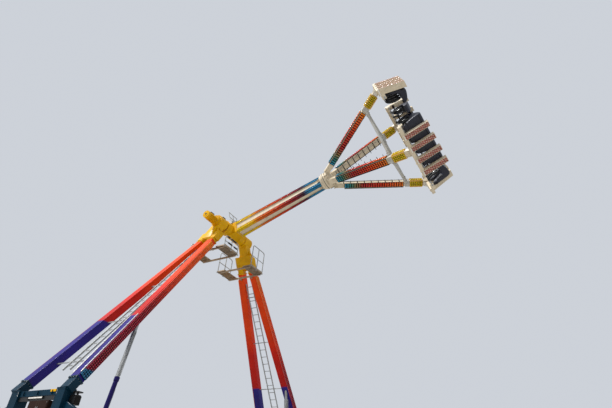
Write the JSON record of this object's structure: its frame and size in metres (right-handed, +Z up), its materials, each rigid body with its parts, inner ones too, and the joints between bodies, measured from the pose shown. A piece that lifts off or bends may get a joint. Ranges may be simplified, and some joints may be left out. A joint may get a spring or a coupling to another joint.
{
  "type": "fairground pendulum ride",
  "caption": "Fairground pendulum ride: two leaning A-frames carry an axle and a swinging box beam, with a slewing claw gondola of inward-facing seat rows.",
  "frame": {"origin": "on the ground under the axle, at the underside of the foot below the centre cross beam", "axes": "+Z up; the axle runs along Y; +X is the side towards which the pendulum is raised"},
  "size_m": [13.8731, 14.5, 17.2725],
  "materials": {
    "blue_enamel": "gloss enamel, worn at the edges",
    "head_yellow": "gloss enamel",
    "leg_enamel": "gloss enamel fading from orange to red, purple below",
    "deck_grating": "dull galvanised grating",
    "galvanised_steel": "dull galvanised",
    "purple_enamel": "gloss enamel",
    "cream_enamel": "satin enamel with lamp strips",
    "seat_shell": "moulded shell, satin",
    "restraint_pad": "foam pad with a rubber skin",
    "deck_plate": "chequer plate"
  },
  "bodies": {
    "frame": {"front_base_rail": "blue_enamel", "rear_base_rail": "blue_enamel", "left_cross_beam": "blue_enamel", "centre_cross_beam": "blue_enamel", "right_cross_beam": "blue_enamel", "front_left_outrigger": "blue_enamel", "front_right_outrigger": "blue_enamel", "rear_left_outrigger": "blue_enamel", "rear_right_outrigger": "blue_enamel", "front_deck": "deck_plate", "rear_deck": "deck_plate", "middle_deck": "deck_plate", "front_steps": "deck_plate", "left_head": "head_yellow", "left_front_leg": "leg_enamel", "left_rear_leg": "leg_enamel", "left_service_deck": "deck_grating", "left_ladder": "galvanised_steel", "left_tower": "blue_enamel", "left_strut_rod": "galvanised_steel", "left_strut_barrel": "purple_enamel", "right_head": "head_yellow", "right_front_leg": "leg_enamel", "right_rear_leg": "leg_enamel", "right_service_deck": "deck_grating", "right_ladder": "galvanised_steel", "right_tower": "blue_enamel", "right_strut_rod": "galvanised_steel", "right_strut_barrel": "purple_enamel", "swing_drive": "head_yellow"},
    "pendulum": {"axle_drum": "head_yellow", "pendulum_beam": "cream_enamel", "fixed_hub": "cream_enamel", "root_guard_rail": "galvanised_steel"},
    "gondola": {"slewing_hub": "cream_enamel", "arm_1": "cream_enamel", "tie_bar_1": "galvanised_steel", "row_frame_1": "cream_enamel", "seat_row_1": "seat_shell", "arm_2": "cream_enamel", "tie_bar_2": "galvanised_steel", "row_frame_2": "cream_enamel", "seat_row_2": "seat_shell", "arm_3": "cream_enamel", "tie_bar_3": "galvanised_steel", "row_frame_3": "cream_enamel", "seat_row_3": "seat_shell", "arm_4": "cream_enamel", "tie_bar_4": "galvanised_steel", "row_frame_4": "cream_enamel", "seat_row_4": "seat_shell"},
    "restraints_1_body": {"restraints_1": "restraint_pad"},
    "restraints_2_body": {"restraints_2": "restraint_pad"},
    "restraints_3_body": {"restraints_3": "restraint_pad"},
    "restraints_4_body": {"restraints_4": "restraint_pad"}
  },
  "joints": [
    {"name": "pendulum_swing", "type": "hinge", "parent": "frame", "child": "pendulum", "pos_m": [0, 0, 11.83], "axis": [0, -1, 0], "range_deg": [-228.42, 11.58]},
    {"name": "gondola_spin", "type": "hinge", "parent": "pendulum", "child": "gondola", "pos_m": [4.79127, 0, 13.4257], "axis": [0.9488, 0, 0.316], "continuous": true},
    {"name": "restraints_1_lift", "type": "hinge", "parent": "gondola", "child": "restraints_1_body", "pos_m": [8.14889, -1.78742, 15.62331], "axis": [-0.2742, 0.4971, 0.8232], "range_deg": [0, 65]},
    {"name": "restraints_2_lift", "type": "hinge", "parent": "gondola", "child": "restraints_2_body", "pos_m": [9.03727, -1.02408, 12.95586], "axis": [-0.1571, -0.8677, 0.4717], "range_deg": [0, 65]},
    {"name": "restraints_3_lift", "type": "hinge", "parent": "gondola", "child": "restraints_3_body", "pos_m": [8.79607, 1.78742, 13.68009], "axis": [0.2742, -0.4971, -0.8232], "range_deg": [0, 65]},
    {"name": "restraints_4_lift", "type": "hinge", "parent": "gondola", "child": "restraints_4_body", "pos_m": [7.90769, 1.02408, 16.34754], "axis": [0.1571, 0.8677, -0.4717], "range_deg": [0, 65]}
  ]
}
